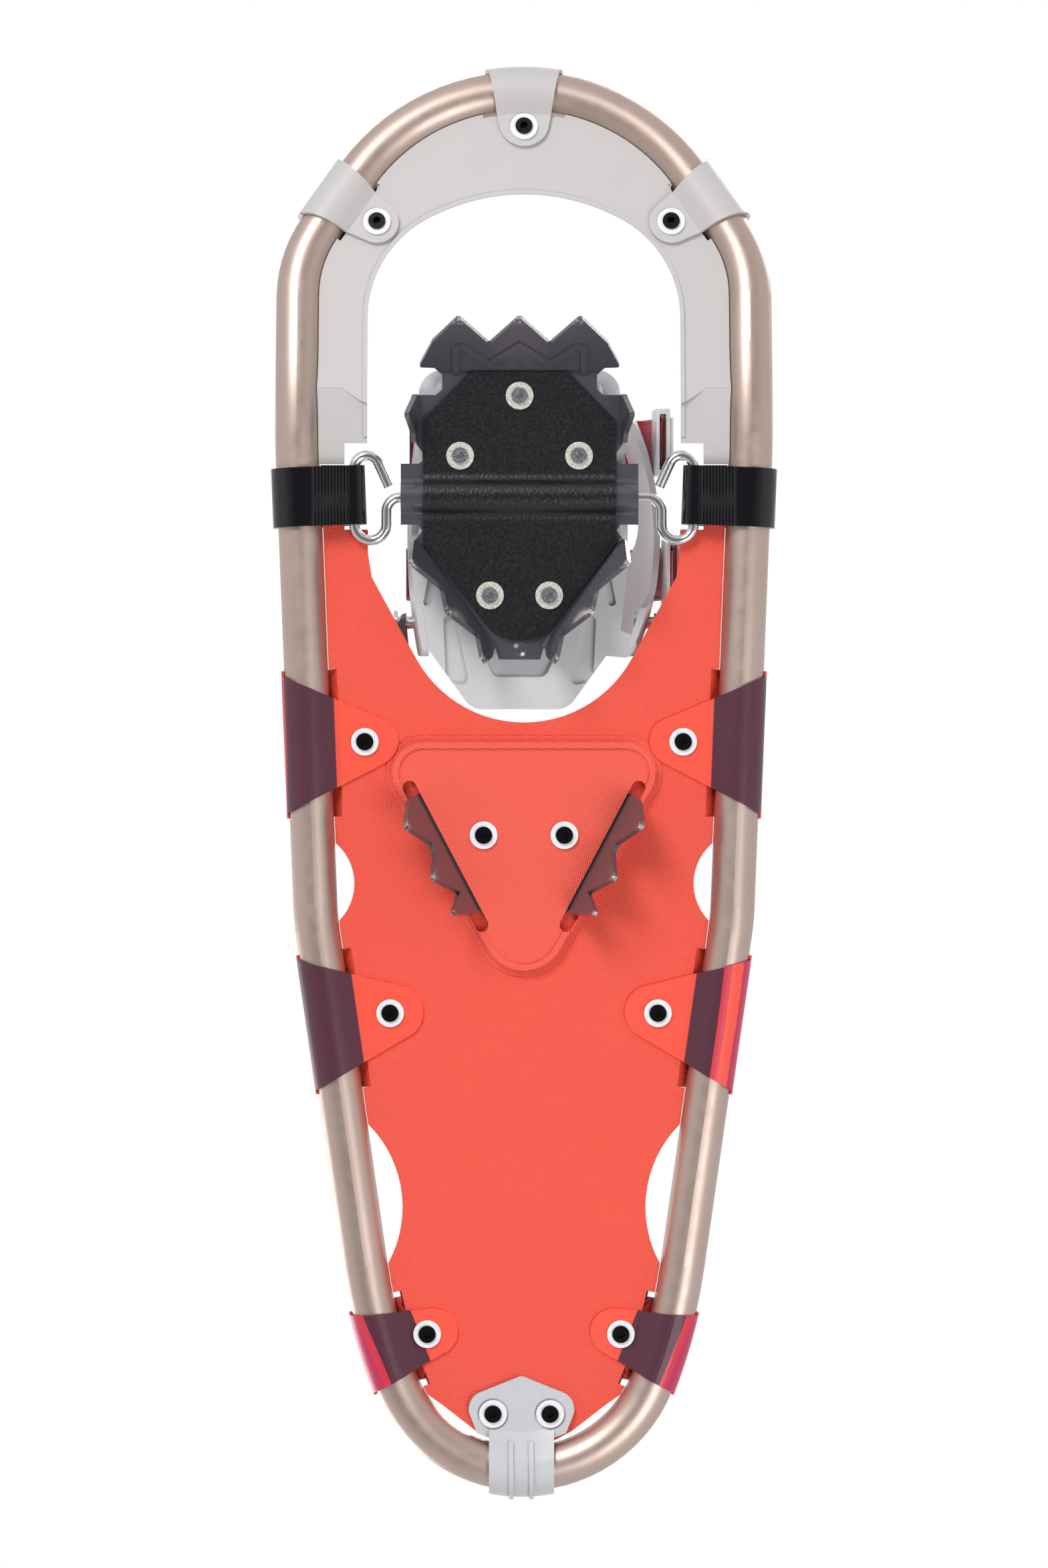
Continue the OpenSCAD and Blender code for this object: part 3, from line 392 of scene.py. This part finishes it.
def deck_sheet():
    """The coated fabric, cut finely enough to carry its slack, with the print on its upper face."""
    bm = bmesh.new()
    bm.from_mesh(nodes["deck"].data)
    bmesh.ops.remove_doubles(bm, verts=bm.verts, dist=2e-6)
    low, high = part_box("deck")
    for axis, step in ((0, 0.007), (1, 0.007)):
        count = int((high[axis] - low[axis]) / step)
        for k in range(1, count + 1):
            at, normal = Vector((0, 0, 0)), Vector((0, 0, 0))
            at[axis] = low[axis] + k * step
            normal[axis] = 1
            bmesh.ops.bisect_plane(bm, geom=bm.verts[:] + bm.edges[:] + bm.faces[:],
                                   dist=1e-7, plane_co=at, plane_no=normal)
    bm.normal_update()
    under = TUBE_Z + DECK_Z * MM
    for f in bm.faces:
        c = f.calc_center_median()
        bottom = abs(c.z - under) < 4e-5 and f.normal.z < -0.9
        lining = c.z > under + 1.2 * MM and f.normal.z < -0.1
        f.material_index = 1 if bottom or lining else 0
    sheet_low, sheet_high = under - 1e-5, under + (DECK_T + 0.01) * MM
    for v in bm.verts:
        if sheet_low <= v.co.z <= sheet_high:
            v.co.z += deck_lift(v.co)
    sides = [f.material_index for f in bm.faces]
    obj = add_object("deck_sheet", bm, smooth=False)
    dress(obj, printed_fabric(), diamond_weave("coated_underside", (0.96, 0.085, 0.045)))
    obj.data.polygons.foreach_set("material_index", sides)
    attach(obj, "frame")
    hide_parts("deck")
    return obj


def smooth_path(points, step=1.5):
    """Points of a Catmull-Rom curve through the given points, about a step apart, in mm."""
    pts = [np.array(p, float) for p in points]
    pts = [2 * pts[0] - pts[1], *pts, 2 * pts[-1] - pts[-2]]
    out = []
    for a, b, c, d in zip(pts, pts[1:], pts[2:], pts[3:]):
        n = max(2, int(np.linalg.norm(c - b) / step))
        for k in range(n):
            t = k / n
            out.append(0.5 * (2 * b + (c - a) * t + (2 * a - 5 * b + 4 * c - d) * t * t
                              + (3 * b - a - 3 * c + d) * t ** 3))
    out.append(pts[-2])
    return out


def band(name, path, y0, width, thick, material, body, slot, node):
    """Webbing that follows a path of [x, z] points, with rounded selvedges and a UV in metres."""
    line = smooth_path(path)
    half, r = width / 2, thick / 2
    ring = [(-half + r * (1 - math.sin(a)), r * math.cos(a)) for a in
            (math.radians(k) for k in (0, 45, 90, 135, 180))]
    ring = ring[::-1] + [(-u, -w) for u, w in ring[::-1]]
    span = [(-half + r + (width - 2 * r) * k / 10) for k in range(1, 10)]
    ring = ring[:5] + [(u, -r) for u in span] + ring[5:] + [(u, r) for u in span[::-1]]
    bm = bmesh.new()
    uv = bm.loops.layers.uv.new("UVMap")
    rows, along = [], [0.0]
    for i, p in enumerate(line):
        ahead = line[min(i + 1, len(line) - 1)] - line[max(i - 1, 0)]
        ahead /= np.linalg.norm(ahead)
        normal = np.array([-ahead[1], ahead[0]])
        if i:
            along.append(along[-1] + float(np.linalg.norm(p - line[i - 1])))
        rows.append([bm.verts.new(place(BIND_X + p[0] + normal[0] * w, y0 + half + u, p[1] + normal[1] * w))
                     for u, w in ring])
    n = len(ring)
    for i in range(len(rows) - 1):
        for k in range(n):
            face = bm.faces.new((rows[i][k], rows[i][(k + 1) % n], rows[i + 1][(k + 1) % n], rows[i + 1][k]))
            corners = ((i, k), (i, (k + 1) % n), (i + 1, (k + 1) % n), (i + 1, k))
            for loop, (ii, kk) in zip(face.loops, corners):
                loop[uv].uv = (ring[kk][0] * MM, along[ii] * MM)
    for row in (rows[0], rows[-1]):
        bm.faces.new(row)
    bmesh.ops.recalc_face_normals(bm, faces=bm.faces)
    obj = add_object(name, bm)
    dress(obj, material)
    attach(obj, body)
    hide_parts(node)
    return obj, line


def thread_row(name, points, radius, material, body):
    """Stitches: a short capsule of thread between each pair of points."""
    bm = bmesh.new()
    for a, b in zip(points[::2], points[1::2]):
        a, b = Vector(a), Vector(b)
        d = (b - a).normalized()
        side = d.orthogonal().normalized()
        up = d.cross(side)
        rings = []
        for t, r in ((0, 0.45), (0.12, 0.9), (0.5, 1.0), (0.88, 0.9), (1, 0.45)):
            rings.append([bm.verts.new(a.lerp(b, t) + (side * math.cos(q) + up * math.sin(q)) * r * radius)
                          for q in (math.tau * k / 8 for k in range(8))])
        for lower, upper in zip(rings, rings[1:]):
            for k in range(8):
                bm.faces.new((lower[k], lower[(k + 1) % 8], upper[(k + 1) % 8], upper[k]))
        bm.faces.new(rings[0])
        bm.faces.new(rings[-1])
    bmesh.ops.recalc_face_normals(bm, faces=bm.faces)
    obj = add_object(name, bm)
    dress(obj, material)
    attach(obj, body)
    return obj


def box_stitch(name, line, start, y0, width, thick, material):
    """A sewn box with a cross, on the outer face of webbing, over 14 mm from the given point of its line."""
    length = 14.0
    run = [0.0]
    for a, b in zip(line[start:], line[start + 1:]):
        run.append(run[-1] + float(np.linalg.norm(b - a)))

    def spot(s, u):
        i = next((k for k in range(1, len(run)) if run[k] >= s), len(run) - 1)
        t = (s - run[i - 1]) / max(run[i] - run[i - 1], 1e-6)
        p = line[start + i - 1] * (1 - t) + line[start + i] * t
        d = line[start + i] - line[start + i - 1]
        d = d / np.linalg.norm(d)
        out = np.array([d[1], -d[0]]) * (thick / 2 + 0.12)
        return place(BIND_X + p[0] + out[0], y0 + width / 2 + u, p[1] + out[1])

    w = width / 2 - 3
    corners = [(0, -w), (length, -w), (length, w), (0, w), (0, -w), (length, w), (length, -w), (0, w)]
    points = []
    for (s0, u0), (s1, u1) in zip(corners, corners[1:]):
        n = max(2, int(math.hypot(s1 - s0, u1 - u0) / 2.4))
        for k in range(n):
            for t in (k + 0.12, k + 0.88):
                t /= n
                points.append(spot(s0 + (s1 - s0) * t, u0 + (u1 - u0) * t))
    return thread_row(name, points, 0.22 * MM, material, "binding")


deck = deck_sheet()

WEB_W, WEB_T = 22.0, 1.6
toe_path = [[58.8, 12], [57.5, 24], [55.9, 34], [53.4, 42], [49.8, 46.1], [44, 46.4], [38, 46.6],
            [35.2, 50.5], [31.5, 62], [23.5, 73.5], [12, 80], [-3, 81.5], [-16, 77.5], [-24.5, 69],
            [-28, 58], [-29.9, 50], [-33.6, 46.6], [-39.4, 46.3], [-42.8, 42.6], [-44.8, 36]]
instep_path = [[63.5, 10], [61.4, 24], [59.4, 38], [55.2, 48.5], [47.5, 59], [40, 74], [28, 87],
               [12, 94.5], [-4, 95], [-19, 89], [-29, 78], [-34, 66], [-36.6, 59], [-43, 51], [-46.4, 43]]
red_web = woven("red_webbing", (0.55, 0.012, 0.040))
red_thread = rubber("red_thread", (0.40, 0.010, 0.030))
for label, path, y0 in (("toe", toe_path, -151), ("instep", instep_path, -98)):
    web, line = band(label + "_web", path, y0, WEB_W, WEB_T, red_web, "binding", "webbing", label + "_webbing")
    box_stitch(label + "_web_stitching", line, len(line) - 24, y0, WEB_W, WEB_T, red_thread)


# ------------------------------------------------------------------ stage, light and camera

def area(name, at, to, size, power, color=(1, 1, 1)):
    data = bpy.data.lights.new(name, "AREA")
    data.shape, data.size, data.energy, data.color = "DISK", size, power, color
    lamp = bpy.data.objects.new(name, data)
    bpy.context.scene.collection.objects.link(lamp)
    lamp.location = at
    lamp.rotation_euler = (Vector(to) - Vector(at)).to_track_quat("-Z", "Y").to_euler()
    return lamp


def floor():
    """A pale floor under the teeth. It shows only from above, because the camera looks up at the sole."""
    bm = bmesh.new()
    bmesh.ops.create_grid(bm, x_segments=2, y_segments=2, size=6)
    obj = add_object("floor", bm)
    mat = bpy.data.materials.new("floor")
    mat.use_nodes = True
    tree = mat.node_tree
    bsdf = tree.nodes["Principled BSDF"]
    bsdf.inputs["Base Color"].default_value = (0.86, 0.86, 0.86, 1)
    bsdf.inputs["Roughness"].default_value = 0.8
    side = tree.nodes.new("ShaderNodeNewGeometry")
    clear = tree.nodes.new("ShaderNodeBsdfTransparent")
    mix = tree.nodes.new("ShaderNodeMixShader")
    tree.links.new(side.outputs["Backfacing"], mix.inputs[0])
    tree.links.new(bsdf.outputs[0], mix.inputs[1])
    tree.links.new(clear.outputs[0], mix.inputs[2])
    tree.links.new(mix.outputs[0], tree.nodes["Material Output"].inputs["Surface"])
    obj.data.materials.append(mat)
    obj.visible_shadow = obj.visible_diffuse = obj.visible_glossy = False


def sky():
    """White to the camera. As light it is a softbox overhead and round the horizon, darker underneath."""
    world = bpy.data.worlds.new("studio")
    bpy.context.scene.world = world
    world.use_nodes = True
    tree = world.node_tree
    tree.nodes.clear()
    ray = tree.nodes.new("ShaderNodeLightPath")
    seen = tree.nodes.new("ShaderNodeBackground")
    fill = tree.nodes.new("ShaderNodeBackground")
    seen.inputs["Color"].default_value = (1, 1, 1, 1)
    fill.inputs["Color"].default_value = (0.97, 0.98, 1, 1)
    where = tree.nodes.new("ShaderNodeTexCoord")
    split = tree.nodes.new("ShaderNodeSeparateXYZ")
    level = tree.nodes.new("ShaderNodeMapRange")
    tree.links.new(where.outputs["Generated"], split.inputs[0])
    tree.links.new(split.outputs["Z"], level.inputs["Value"])
    for name, value in (("From Min", -0.97), ("From Max", -0.45), ("To Min", 0.18), ("To Max", 0.80)):
        level.inputs[name].default_value = value
    tree.links.new(level.outputs[0], fill.inputs["Strength"])
    mix = tree.nodes.new("ShaderNodeMixShader")
    out = tree.nodes.new("ShaderNodeOutputWorld")
    tree.links.new(ray.outputs["Is Camera Ray"], mix.inputs[0])
    tree.links.new(fill.outputs[0], mix.inputs[1])
    tree.links.new(seen.outputs[0], mix.inputs[2])
    tree.links.new(mix.outputs[0], out.inputs["Surface"])


floor()
sky()
centre = (0, 0, TUBE_Z)
area("soft_below_toe", (-0.9, -1.5, -1.7), centre, 1.1, 34)
area("soft_below_tail", (1.0, 0.9, -1.9), centre, 1.3, 22)
area("key_above", (0.9, -1.1, 1.6), centre, 1.0, 30)
area("fill_above", (-1.3, 1.0, 1.4), centre, 1.4, 18)

CAMERA_DOWN = 2.1          # from the frame tube's axis to the camera
VIEW_HEIGHT = 0.6378       # height of the picture at the frame tube's axis
camera = bpy.data.cameras.new("camera")
camera.sensor_width = 36
camera.lens = camera.sensor_width * CAMERA_DOWN / VIEW_HEIGHT
camera.clip_start, camera.clip_end = 0.05, 50
eye = bpy.data.objects.new("camera", camera)
bpy.context.scene.collection.objects.link(eye)
eye.location = (0, SHIFT_Y, TUBE_Z - CAMERA_DOWN)
eye.rotation_euler = (math.pi, 0, 0)     # looks up, with the toe at the top of the picture
bpy.context.scene.camera = eye
bpy.context.scene.view_settings.view_transform = "Standard"
